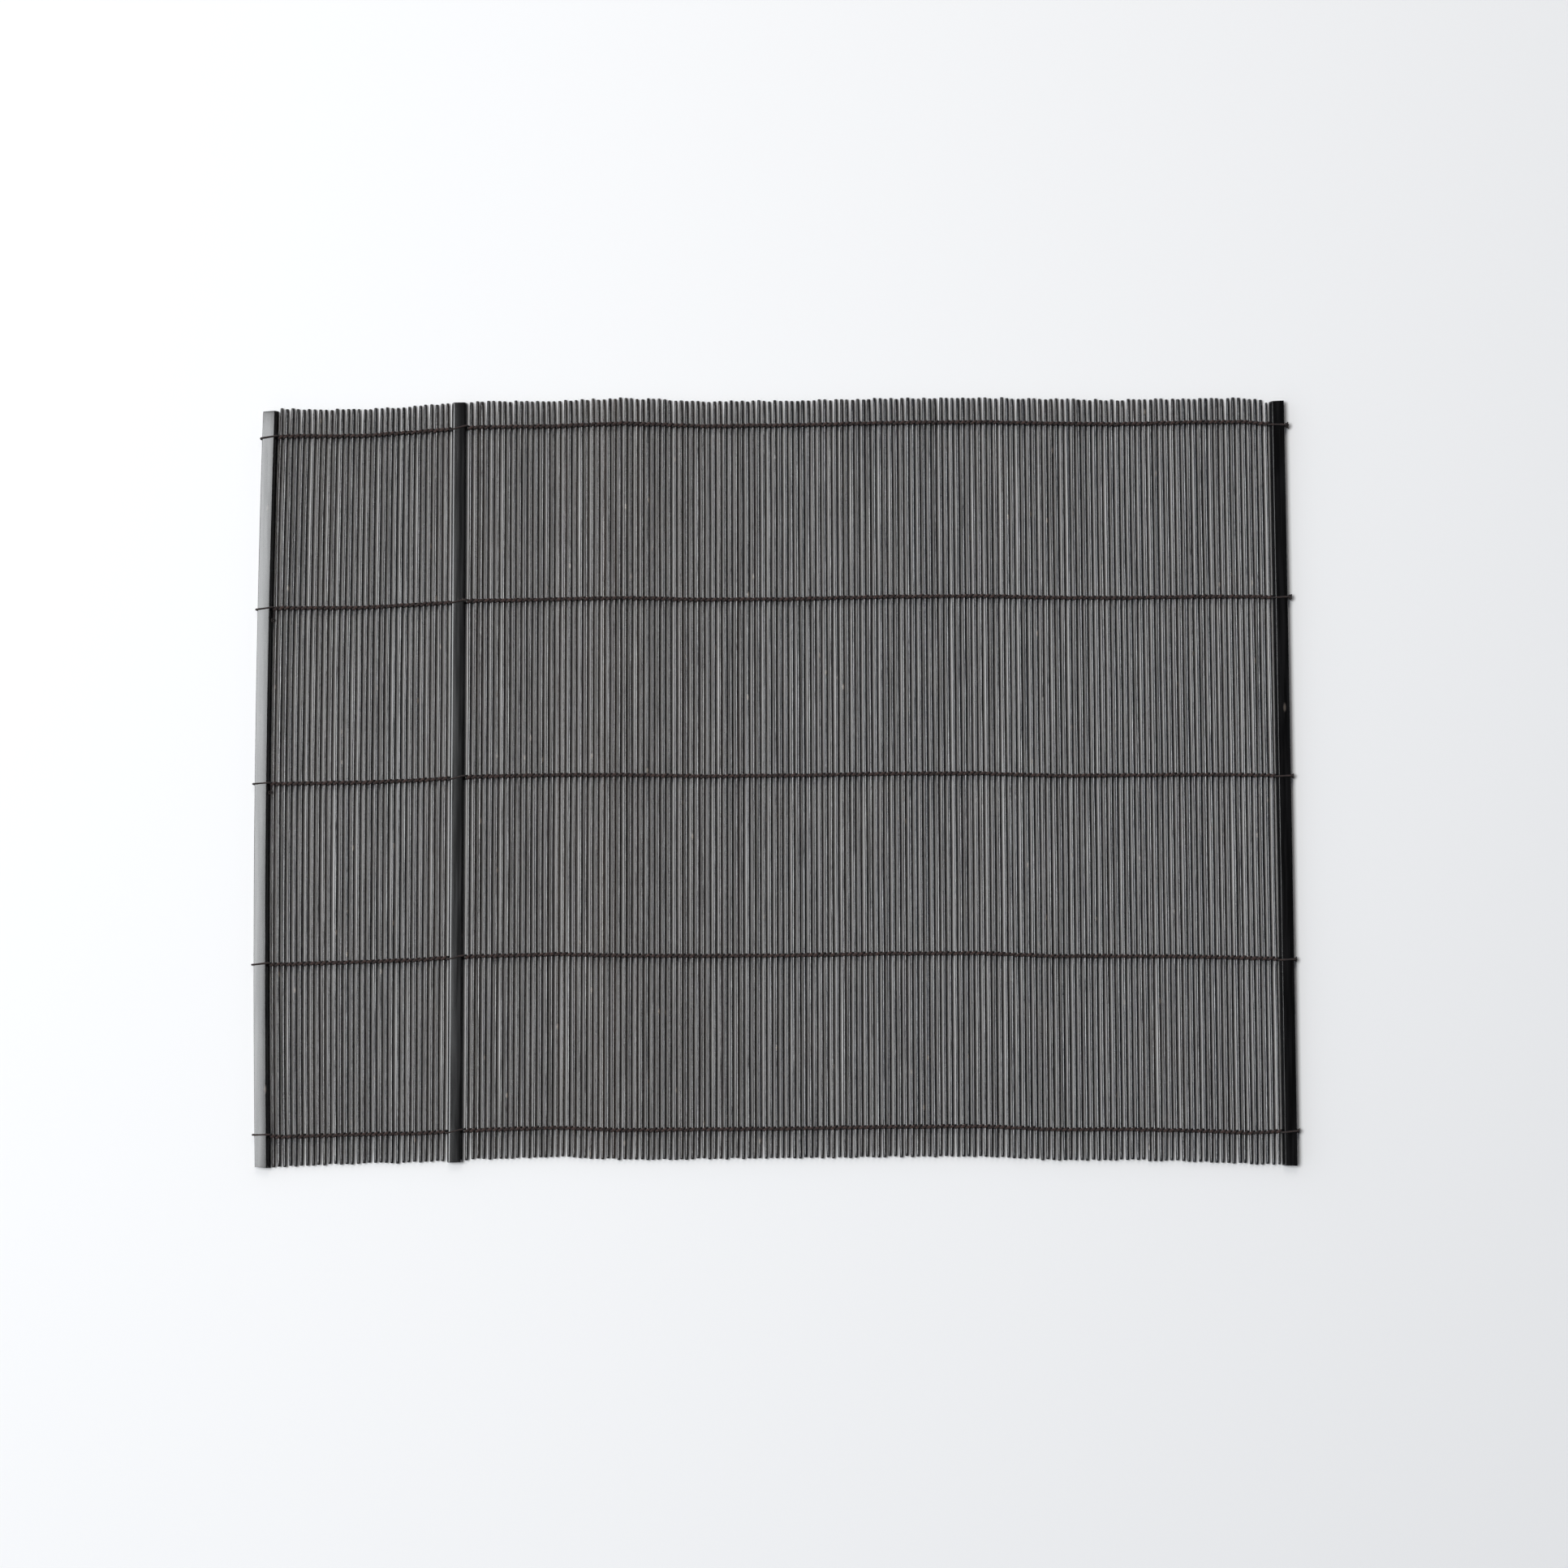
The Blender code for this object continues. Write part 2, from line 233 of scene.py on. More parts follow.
class Shape:
    """Points, faces, map coordinates and finish values gathered for one piece."""

    def __init__(self):
        self.points = []
        self.faces = []
        self.maps = []
        self.finish = []

    def tube(self, rings, lengths, finish, capped=True):
        """A closed tube through rings of points. The map runs along it and once round it, and
        the finish is one entry for the whole tube or a list with one for each ring."""
        sides = len(rings[0])
        start = len(self.points)
        for index, ring in enumerate(rings):
            self.points.extend(ring)
            self.finish.extend([finish[index] if isinstance(finish, list) else finish] * sides)
        for index in range(len(rings) - 1):
            base = start + index * sides
            here, there = lengths[index], lengths[index + 1]
            for side in range(sides):
                turn = (side + 1) % sides
                self.faces.append((base + side, base + turn, base + sides + turn, base + sides + side))
                low, high = side / sides, (side + 1) / sides
                self.maps.extend(((here, low), (here, high), (there, high), (there, low)))
        if capped:
            last = start + (len(rings) - 1) * sides
            self.faces.append(tuple(range(start + sides - 1, start - 1, -1)))
            self.maps.extend([(lengths[0], 0.5)] * sides)
            self.faces.append(tuple(range(last, last + sides)))
            self.maps.extend([(lengths[-1], 0.5)] * sides)

    def make(self, name, material, sharp_angle=50.0):
        mesh = bpy.data.meshes.new(name)
        mesh.from_pydata([tuple(Vector(point) + SHIFT) for point in self.points], [], self.faces)
        layer = mesh.uv_layers.new(name="along_and_round")
        layer.data.foreach_set("uv", [value for pair in self.maps for value in pair])
        attribute = mesh.attributes.new("finish", "FLOAT_COLOR", "POINT")
        attribute.data.foreach_set("color", [value for entry in self.finish for value in (*entry, 1.0)])
        mesh.polygons.foreach_set("use_smooth", [True] * len(mesh.polygons))
        mesh.set_sharp_from_angle(angle=math.radians(sharp_angle))
        mesh.materials.append(material)
        mesh.update()
        obj = bpy.data.objects.new(name, mesh)
        bpy.context.scene.collection.objects.link(obj)
        return obj


def new_group(name, inputs, outputs):
    """An empty node group with float or colour inputs and value or colour outputs."""
    group = bpy.data.node_groups.new(name, "ShaderNodeTree")
    for label, kind, default in inputs:
        socket = group.interface.new_socket(label, in_out="INPUT", socket_type=kind)
        if default is not None:
            socket.default_value = default
    for label, kind in outputs:
        group.interface.new_socket(label, in_out="OUTPUT", socket_type=kind)
    return group, Nodes(group)


class Nodes:
    """Short calls for placing and joining nodes in one tree."""

    def __init__(self, tree):
        self.tree = tree

    def add(self, kind, **settings):
        node = self.tree.nodes.new(kind)
        for key, value in settings.items():
            setattr(node, key, value)
        return node

    def join(self, source, target):
        self.tree.links.new(source, target)

    def feed(self, socket, value):
        if isinstance(value, bpy.types.NodeSocket):
            self.join(value, socket)
        else:
            socket.default_value = value

    def math(self, operation, first, second=0.0, third=0.0):
        node = self.add("ShaderNodeMath", operation=operation)
        self.feed(node.inputs[0], first)
        self.feed(node.inputs[1], second)
        self.feed(node.inputs[2], third)
        return node.outputs[0]

    def spread(self, value, low, high, new_low, new_high):
        """Map value from low..high to new_low..new_high, held at both ends."""
        node = self.add("ShaderNodeMapRange", interpolation_type="SMOOTHSTEP")
        for socket, entry in zip(node.inputs[:5], (value, low, high, new_low, new_high)):
            self.feed(socket, entry)
        return node.outputs[0]

    def vector(self, x, y, z):
        node = self.add("ShaderNodeCombineXYZ")
        for socket, entry in zip(node.inputs, (x, y, z)):
            self.feed(socket, entry)
        return node.outputs[0]

    def split(self, source):
        return self.add_linked("ShaderNodeSeparateXYZ", source).outputs

    def add_linked(self, kind, source, **settings):
        node = self.add(kind, **settings)
        self.join(source, node.inputs[0])
        return node

    def noise(self, place, scale, detail, roughness=0.5):
        node = self.add("ShaderNodeTexNoise", noise_dimensions="3D")
        self.join(place, node.inputs["Vector"])
        self.feed(node.inputs["Scale"], scale)
        node.inputs["Detail"].default_value = detail
        node.inputs["Roughness"].default_value = roughness
        return node.outputs["Fac"]


def colour_mix(nodes, share, first, second, blend="MIX"):
    node = nodes.add("ShaderNodeMix", data_type="RGBA", blend_type=blend)
    nodes.feed(node.inputs[0], share)
    nodes.feed(node.inputs[6], first)
    nodes.feed(node.inputs[7], second)
    return node.outputs[2]


def make_grain_group():
    """Bamboo fibres: fine lines and broader streaks that run along the piece."""
    group, nodes = new_group(
        "bamboo_grain",
        [
            ("Fibre Width", "NodeSocketFloat", 0.00022),
            ("Stretch", "NodeSocketFloat", 90.0),
            ("Offset", "NodeSocketFloat", 0.0),
        ],
        [("Fibre", "NodeSocketFloat"), ("Streak", "NodeSocketFloat"), ("Cloud", "NodeSocketFloat")],
    )
    given = nodes.add("NodeGroupInput").outputs
    place = nodes.split(nodes.add("ShaderNodeTexCoord").outputs["Object"])
    across = nodes.math("DIVIDE", 1.0, given["Fibre Width"])
    along = nodes.math("DIVIDE", across, given["Stretch"])
    shift = nodes.math("MULTIPLY", given["Offset"], 37.0)
    fine = nodes.vector(
        nodes.math("MULTIPLY", place[0], across),
        nodes.math("MULTIPLY_ADD", place[1], along, shift),
        nodes.math("MULTIPLY", place[2], across),
    )
    broad = nodes.vector(
        nodes.math("MULTIPLY", place[0], nodes.math("MULTIPLY", across, 0.22)),
        nodes.math("MULTIPLY_ADD", place[1], nodes.math("MULTIPLY", along, 0.6), shift),
        nodes.math("MULTIPLY", place[2], nodes.math("MULTIPLY", across, 0.22)),
    )
    cloud = nodes.vector(
        nodes.math("MULTIPLY", place[0], nodes.math("MULTIPLY", across, 0.08)),
        nodes.math("MULTIPLY_ADD", place[1], nodes.math("MULTIPLY", along, 4.0), shift),
        place[2],
    )
    out = nodes.add("NodeGroupOutput").inputs
    nodes.join(nodes.noise(fine, 1.0, 3.0, 0.62), out["Fibre"])
    nodes.join(nodes.noise(broad, 1.0, 2.0), out["Streak"])
    nodes.join(nodes.noise(cloud, 1.0, 2.0), out["Cloud"])
    return group


def make_wear_group():
    """Rubbed patches and small nicks, as masks."""
    group, nodes = new_group(
        "rubbed_and_nicked",
        [("Patch Size", "NodeSocketFloat", 0.02), ("Nick Spacing", "NodeSocketFloat", 0.004)],
        [("Rubbed", "NodeSocketFloat"), ("Nick", "NodeSocketFloat")],
    )
    given = nodes.add("NodeGroupInput").outputs
    place = nodes.add("ShaderNodeTexCoord").outputs["Object"]
    patches = nodes.noise(place, nodes.math("DIVIDE", 1.0, given["Patch Size"]), 4.0, 0.6)
    parts = nodes.split(place)
    squeezed = nodes.vector(parts[0], nodes.math("MULTIPLY", parts[1], 0.35), parts[2])
    cells = nodes.add("ShaderNodeTexVoronoi", feature="F1")
    nodes.join(squeezed, cells.inputs["Vector"])
    nodes.join(nodes.math("DIVIDE", 1.0, given["Nick Spacing"]), cells.inputs["Scale"])
    out = nodes.add("NodeGroupOutput").inputs
    nodes.join(nodes.spread(patches, 0.5, 0.72, 0.0, 1.0), out["Rubbed"])
    nodes.join(nodes.spread(cells.outputs["Distance"], 0.03, 0.10, 1.0, 0.0), out["Nick"])
    return group


def new_material(name, roughness):
    material = bpy.data.materials.new(name)
    material.use_nodes = True
    shader = material.node_tree.nodes["Principled BSDF"]
    shader.inputs["Roughness"].default_value = roughness
    return material, Nodes(material.node_tree), shader


def place_group(nodes, group, **values):
    node = nodes.add("ShaderNodeGroup", node_tree=group)
    for key, value in values.items():
        nodes.feed(node.inputs[key.replace("_", " ").title()], value)
    return node.outputs


def bump(nodes, shader, height, strength, distance):
    node = nodes.add("ShaderNodeBump")
    node.inputs["Strength"].default_value = strength
    node.inputs["Distance"].default_value = distance
    nodes.join(height, node.inputs["Height"])
    nodes.join(node.outputs[0], shader.inputs["Normal"])


def stick_material(grain, wear):
    """Black stain on split bamboo: brown-black to blue-black from stick to stick."""
    material, nodes, shader = new_material("stained_stick_bamboo", 0.4)
    shader.inputs["Specular IOR Level"].default_value = 0.85
    finish = nodes.add("ShaderNodeAttribute", attribute_name="finish")
    channels = nodes.split(finish.outputs["Vector"])
    tone, warmth, offset = channels[0], channels[1], channels[2]
    fibres = place_group(nodes, grain, fibre_width=0.00017, stretch=110.0, offset=offset)
    worn = place_group(nodes, wear, patch_size=0.03, nick_spacing=0.006)
    cold = colour_mix(nodes, tone, (0.0026, 0.0032, 0.0045, 1.0), (0.0075, 0.0090, 0.0125, 1.0))
    warm = colour_mix(nodes, tone, (0.0060, 0.0040, 0.0030, 1.0), (0.0240, 0.0160, 0.0110, 1.0))
    stain = colour_mix(nodes, warmth, cold, warm)
    depth = nodes.spread(fibres["Streak"], 0.3, 0.7, 0.55, 1.35)
    fine = nodes.spread(fibres["Fibre"], 0.32, 0.68, 0.65, 1.3)
    shade = nodes.math("MULTIPLY", depth, fine)
    grey = nodes.vector(shade, shade, shade)
    streaked = colour_mix(nodes, 1.0, stain, grey, "MULTIPLY")
    rubbed = colour_mix(
        nodes, nodes.math("MULTIPLY", worn["Rubbed"], 0.5), streaked, (0.034, 0.028, 0.024, 1.0)
    )
    nicked = colour_mix(nodes, nodes.math("MULTIPLY", worn["Nick"], 0.8), rubbed, (0.16, 0.13, 0.10, 1.0))
    nodes.join(nicked, shader.inputs["Base Color"])
    gloss = nodes.math("ADD", nodes.spread(fibres["Cloud"], 0.35, 0.65, 0.07, 0.13),
                       nodes.spread(offset, 0.0, 1.0, 0.0, 0.16))
    nodes.join(nodes.math("MULTIPLY_ADD", fine, 0.04, gloss), shader.inputs["Roughness"])
    height = nodes.math("MULTIPLY_ADD", fibres["Streak"], 0.5, fibres["Fibre"])
    dented = nodes.math("MULTIPLY_ADD", worn["Nick"], -0.8, height)
    bump(nodes, shader, dented, 0.4, 0.00010)
    return material


def slat_material(grain, wear):
    """Black stain on planed bamboo, satin, with faint grey fibres."""
    material, nodes, shader = new_material("stained_slat_bamboo", 0.3)
    shader.inputs["Specular IOR Level"].default_value = 0.6
    fibres = place_group(nodes, grain, fibre_width=0.00030, stretch=70.0, offset=0.3)
    worn = place_group(nodes, wear, patch_size=0.012, nick_spacing=0.009)
    streak = nodes.spread(fibres["Streak"], 0.35, 0.7, 0.0, 1.0)
    stain = colour_mix(nodes, streak, (0.0030, 0.0029, 0.0031, 1.0), (0.0075, 0.0072, 0.0078, 1.0))
    fleck = nodes.math("MULTIPLY", nodes.spread(fibres["Fibre"], 0.60, 0.74, 0.0, 1.0), 0.5)
    flecked = colour_mix(nodes, fleck, stain, (0.026, 0.025, 0.025, 1.0))
    nicked = colour_mix(nodes, nodes.math("MULTIPLY", worn["Nick"], 0.7), flecked, (0.12, 0.10, 0.085, 1.0))
    nodes.join(nicked, shader.inputs["Base Color"])
    nodes.join(nodes.spread(fibres["Streak"], 0.3, 0.7, 0.15, 0.20), shader.inputs["Roughness"])
    bump(nodes, shader, nodes.math("MULTIPLY_ADD", fibres["Fibre"], 0.6, fibres["Streak"]), 0.16, 0.00004)
    return material


def thread_material():
    """Dark brown spun thread: two plies wound round each other, matt and a little fuzzy, with painted shade
    where it dips into the gaps between sticks.
    """
    material, nodes, shader = new_material("brown_spun_thread", 0.9)
    along_and_round = nodes.split(nodes.add("ShaderNodeUVMap", uv_map="along_and_round").outputs[0])
    winding = nodes.math("MULTIPLY_ADD", along_and_round[0], 2.0 * math.pi / PLY_PITCH,
                         nodes.math("MULTIPLY", along_and_round[1], 4.0 * math.pi))
    ply = nodes.spread(nodes.math("SINE", winding), -1.0, 1.0, 0.0, 1.0)
    place = nodes.add("ShaderNodeTexCoord").outputs["Object"]
    fuzz = nodes.noise(place, 9000.0, 4.0, 0.7)
    patch = nodes.noise(place, 420.0, 2.0)
    finish = nodes.add("ShaderNodeAttribute", attribute_name="finish")
    entries = nodes.split(finish.outputs["Vector"])
    dyed = colour_mix(nodes, nodes.spread(patch, 0.3, 0.7, 0.0, 1.0),
                      (0.019, 0.0100, 0.0088, 1.0), (0.048, 0.026, 0.022, 1.0))
    yarn = colour_mix(nodes, entries[1], dyed, (0.42, 0.38, 0.34, 1.0))
    # Painted shade: the finish's first entry is lowest where the strand dips into the gaps between sticks,
    # and darkens the thread there to a tenth of its colour.
    depth = nodes.spread(entries[0], 0.35, 0.97, 0.10, 1.0)
    spun = nodes.math("MULTIPLY", nodes.spread(ply, 0.0, 0.6, 0.65, 1.05),
                      nodes.spread(fuzz, 0.3, 0.7, 0.55, 1.6))
    shade = nodes.math("MULTIPLY", spun, depth)
    nodes.join(colour_mix(nodes, 1.0, yarn, nodes.vector(shade, shade, shade), "MULTIPLY"),
               shader.inputs["Base Color"])
    shader.inputs["Sheen Weight"].default_value = 0.08
    shader.inputs["Sheen Roughness"].default_value = 0.5
    bump(nodes, shader, nodes.math("MULTIPLY_ADD", fuzz, 1.2, ply), 0.7, 0.00010)
    return material


def row_positions(x):
    """Y of the five rows at x, nearest first."""
    return sorted(row_y(row, x) for row in range(len(THREAD_ROW_SHARES)))


def smooth_between(places, values, y):
    """A value that eases from place to place, and holds past the last ones."""
    if y <= places[0]:
        return values[0]
    for index in range(len(places) - 1):
        if y <= places[index + 1]:
            share = (y - places[index]) / (places[index + 1] - places[index])
            share = share * share * (3.0 - 2.0 * share)
            return values[index] + share * (values[index + 1] - values[index])
    return values[-1]


def stick_stations(near, far):
    """Y of each ring with its share of the full width: close together at the cut ends."""
    first = [(near + offset * MM, share) for offset, share in END_RINGS]
    last = [(far - offset * MM, share) for offset, share in reversed(END_RINGS)]
    start, stop = first[-1][0], last[0][0]
    middle = [
        (start + (stop - start) * index / STICK_STATIONS, 1.0) for index in range(1, STICK_STATIONS)
    ]
    return first + middle + last


def stick_bends(chance, near, far, x):
    """The stick's own small bends: places along Y with side and height offsets."""
    rows = row_positions(x)
    places = [near]
    sides = [chance.uniform(-FREE_END_SPLAY, FREE_END_SPLAY)]
    heights = [-NEAR_END_DROOP * chance.uniform(0.6, 1.2)]
    for index, place in enumerate(rows):
        places.append(place)
        sides.append(0.0)
        heights.append(chance.uniform(-HEIGHT_WANDER, 0.0))
        if index + 1 < len(rows):
            places.append((place + rows[index + 1]) / 2)
            sides.append(chance.uniform(-SPAN_BOW, SPAN_BOW))
            heights.append(chance.uniform(-HEIGHT_WANDER, HEIGHT_WANDER))
    places.append(far)
    sides.append(chance.uniform(-FREE_END_SPLAY, FREE_END_SPLAY))
    heights.append(-FAR_END_DROOP * chance.uniform(0.6, 1.2))
    return places, sides, heights


def stick_run(run, material):
    """All the round sticks between two slats, each a little uneven and stained its own way."""
    shape = Shape()
    chance = random.Random(run["sticks"])
    drift = [chance.uniform(0.0, math.tau) for _ in range(4)]
    for stick in run_sticks(run):
        if stick["index"] == THIN_STICK:
            stick["width"] *= THIN_STICK_SHARE
            stick["far"] -= THIN_STICK_SHORT
        x = stick_x(run, stick["index"], stick["wander"], 0.0)
        places, sides, heights = stick_bends(chance, stick["near"], stick["far"], x)
        oval = chance.uniform(0.3, 1.0) * FLATTENING
        facet = chance.uniform(0.3, 1.0) * FACETING
        turns = [chance.uniform(0.0, math.tau) for _ in range(3)]
        twist = chance.uniform(-1.6, 1.6)
        slow = math.sin(x / 0.021 + drift[0]) + 0.7 * math.sin(x / 0.008 + drift[1])
        tone = min(1.0, max(0.0, 0.45 + 0.16 * slow + chance.uniform(-0.28, 0.28)))
        warm_band = math.exp(-((x + 0.075) / 0.06) ** 2)
        warmth = min(1.0, max(0.0, 0.30 + 0.45 * warm_band - 1.1 * x + chance.uniform(-0.25, 0.25)))
        rings = []
        lengths = []
        for y, share in stick_stations(stick["near"], stick["far"]):
            centre_x = stick_x(run, stick["index"], stick["wander"], y) + smooth_between(places, sides, y)
            centre_z = STICK_AXIS_HEIGHT + smooth_between(places, heights, y)
            u = y / BOW_REACH
            width = stick["width"] * share * (1.0 + 0.02 * math.sin(3.1 * u + turns[0]))
            ring = []
            for side in range(STICK_SIDES):
                angle = math.tau * side / STICK_SIDES
                lobe = oval * math.cos(2.0 * angle + turns[1] + twist * u)
                lobe += facet * math.cos(5.0 * angle + turns[2] - twist * u)
                reach = width / 2 * (1.0 + lobe)
                ring.append((centre_x + reach * math.cos(angle), y, centre_z - reach * math.sin(angle)))
            rings.append(ring)
            lengths.append(y)
        shape.tube(rings, lengths, (tone, warmth, chance.random()))
    return shape.make(run["name"], material)


def slat_profile(slat, y):
    """The slat's outline across its width, from the left underside round over the top."""
    low, high = -slat["width"] / 2, slat["width"] / 2
    left, right = slat["left_bevel"], slat["right_bevel"]
    top = SLAT_THICKNESS / MM
    ease = 0.22
    waves = 0.04 * math.sin(y / 0.031) + 0.03 * math.sin(y / 0.0117 + 1.0)
    outline = [
        (low + ease, 0.0),
        (low + 0.06, 0.08),
        (low, ease),
        (low + left * (1.0 - 2.0 * ease / top) + 0.4 * waves, top - 2.0 * ease),
        (low + left + 0.06, top - 0.3 * ease),
        (low + left + 1.4 * ease, top),
        (low + left + 2.2 * ease, top + 0.005),
        (low + left + 1.4, top + 0.02),
        (0.0, top + 0.03),
        (high - right - 1.4, top + 0.02),
        (high - right - 2.2 * ease, top + 0.005),
        (high - right - 1.4 * ease, top),
        (high - right - 0.06, top - 0.3 * ease),
        (high - right * (1.0 - 2.0 * ease / top) + 0.4 * waves, top - 2.0 * ease),
        (high, ease),
        (high - 0.06, 0.08),
        (high - ease, 0.0),
    ]
    return [(x * MM, BAMBOO_UNDERSIDE + z * MM) for x, z in outline]


def slat_piece(slat, material):
    """A planed slat with eased edges and slightly skewed saw cuts at its ends."""
    shape = Shape()
    far, near = slat["far_end"] * MM, slat["near_end"] * MM
    half = slat["width"] * MM / 2
    stations = 44
    rings = []
    lengths = []
    places = [0.0, 0.0006, 0.002] + [index / stations for index in range(1, stations)] + [0.998, 0.9994, 1.0]
    for share in places:
        y = near + (far - near) * share
        edge = min(share, 1.0 - share)
        shrink = 1.0 - 0.02 * max(0.0, 1.0 - edge / 0.0018)
        skew = slat["far_skew"] * share - slat["near_skew"] * (1.0 - share)
        lean = math.radians(slat["near_lean"] + (slat["far_lean"] - slat["near_lean"]) * share)
        ring = []
        for x, z in slat_profile(slat, y):
            end_y = y + skew * MM * (x / half) * 0.5
            middle_z = BAMBOO_UNDERSIDE + SLAT_THICKNESS / 2
            height = (z - middle_z) * shrink
            ring.append((
                slat_x(slat, y) + x * shrink * math.cos(lean) + height * math.sin(lean),
                end_y,
                middle_z + height * math.cos(lean) - x * shrink * math.sin(lean),
            ))
        rings.append(ring)
        lengths.append(y)
    shape.tube(rings, lengths, (0.5, 0.5, 0.5))
    return shape.make(slat["name"], material, 28.0)


def carriers(row):
    """What the thread passes, from left to right: each slat and stick, with the gaps beside it."""
    y = row_y(row, 0.0)
    passed = [(slat_x(SLATS[0], y), SLATS[0])]
    for run in RUNS:
        passed += [(stick_x(run, stick["index"], stick["wander"], y), None) for stick in run_sticks(run)]
        slat = SLATS[run["right_slat"]]
        passed.append((slat_x(slat, y), slat))
    stick_half = (STICK_WIDTH_MAX + STICK_WIDTH_MIN) / 4
    edges = []
    for x, slat in passed:
        half = slat["width"] * MM / 2 if slat else stick_half
        edges.append((x - half, x + half))
    result = []
    for index, (x, slat) in enumerate(passed):
        low = (edges[index - 1][1] + edges[index][0]) / 2 if index else edges[0][0] - LOOP_SIDE
        last = index + 1 == len(passed)
        high = edges[index][1] + LOOP_SIDE if last else (edges[index][1] + edges[index + 1][0]) / 2
        result.append({"x": x, "low": low, "high": high, "slat": slat})
    return result


def pass_points(row, carrier, over, y_start, y_end):
    """The strand's path past one carrier, over or under it, from its left gap to its right one."""
    slat = carrier["slat"]
    steps = STEPS_PER_SLAT if slat else STEPS_PER_STICK
    power = 2.0 / SLAT_SQUARENESS if slat else 1.0
    top = SLAT_THICKNESS if slat else STICK_WIDTH_MAX
    rise = BAMBOO_UNDERSIDE + top + STRAND_HALF_HEIGHT - STICK_AXIS_HEIGHT
    drop = STICK_AXIS_HEIGHT - STRAND_HALF_HEIGHT
    middle = (carrier["low"] + carrier["high"]) / 2
    half = (carrier["high"] - carrier["low"]) / 2
    points = []
    for step in range(steps):
        angle = math.pi * step / steps
        cosine, sine = math.cos(angle), math.sin(angle)
        x = middle - half * math.copysign(abs(cosine) ** power, cosine)
        lift = sine ** power if slat else sine ** 0.8
        z = STICK_AXIS_HEIGHT + (rise * lift if over else -drop * lift)
        share = (x - carrier["low"]) / (2 * half)
        ease = share * share * (3.0 - 2.0 * share)
        y = thread_y(row, x) + y_start + (y_end - y_start) * ease
        points.append((Vector((x, y, z)), SLAT_STRAND_FULLNESS * lift if slat else lift))
    return points


def strand_path(row, passed, starts_over, chance):
    """One strand from the loop at the left slat to the knot at the right one."""
    points = []
    over = starts_over
    y_here = 0.0
    for index, carrier in enumerate(passed):
        reach = TWINE_REACH * chance.uniform(0.65, 1.25)
        if carrier["slat"] and index:
            reach *= 1.25
        y_next = reach if over else -reach
        if index + 1 == len(passed):
            y_next = 0.0
        points += pass_points(row, carrier, over, y_here, y_next)
        y_here = y_next
        over = not over
    end = passed[-1]["high"]
    points.append((Vector((end, thread_y(row, end), STICK_AXIS_HEIGHT)), 0.0))
    return points


def strand_rings(points, chance, half_height=STRAND_HALF_HEIGHT, half_width=STRAND_HALF_WIDTH):
    """Oval rings along a path: wide and low over the bamboo, narrower in the gaps."""
    rings = []
    lengths = []
    length = 0.0
    fullness, new_fullness = 1.0, 1.0
    count = len(points)
    for index, (point, lift) in enumerate(points):
        before = points[max(0, index - 1)][0]
        after = points[min(count - 1, index + 1)][0]
        tangent = (after - before).normalized()
        side = Vector((0.0, 1.0, 0.0))
        normal = side.cross(tangent).normalized()
        side = tangent.cross(normal).normalized()
        if index:
            length += (point - before).length
        if index % STEPS_PER_STICK == 0:
            fullness, new_fullness = new_fullness, chance.uniform(0.86, 1.12)
        swell = fullness + (new_fullness - fullness) * (index % STEPS_PER_STICK) / STEPS_PER_STICK
        width = STRAND_GAP_HALF_WIDTH + (half_width - STRAND_GAP_HALF_WIDTH) * lift
        width *= swell * chance.uniform(0.95, 1.05)
        ring = []
        for corner in range(STRAND_SIDES):
            angle = math.tau * corner / STRAND_SIDES
            lobe = 1.0 + 0.05 * math.cos(2.0 * angle + math.tau * length / PLY_PITCH)
            reach = side * (width * math.cos(angle)) + normal * (half_height * math.sin(angle))
            ring.append(point + reach * lobe)
        rings.append(ring)
        lengths.append(length)
    return rings, lengths


def knot_points(centre, size, turn):
    """An overhand knot drawn tight: a trefoil, flattened."""
    points = []
    steps = 48
    for step in range(steps + 1):
        angle = math.tau * step / steps
        first = (math.sin(angle) + 2.0 * math.sin(2.0 * angle)) / 3.0
        second = (math.cos(angle) - 2.0 * math.cos(2.0 * angle)) / 3.0
        third = -math.sin(3.0 * angle)
        across = first * math.cos(turn) - second * math.sin(turn)
        upward = first * math.sin(turn) + second * math.cos(turn)
        points.append((centre + Vector((third * size[0], across * size[1], upward * size[2])), 0.5))
    return points


def free_rings(points, radius):
    """Round rings along any path, for knots, tails and loose fibres."""
    rings = []
    lengths = []
    length = 0.0
    normal = Vector((0.31, 0.17, 0.93)).normalized()
    for index, (point, _) in enumerate(points):
        before = points[max(0, index - 1)][0]
        after = points[min(len(points) - 1, index + 1)][0]
        tangent = (after - before).normalized()
        normal = (normal - tangent * normal.dot(tangent)).normalized()
        side = tangent.cross(normal)
        if index:
            length += (point - before).length
        here = radius(index / (len(points) - 1))
        ring = []
        for corner in range(ROUND_SIDES):
            angle = math.tau * corner / ROUND_SIDES
            ring.append(point + (normal * math.cos(angle) + side * math.sin(angle)) * here)
        rings.append(ring)
        lengths.append(length)
    return rings, lengths


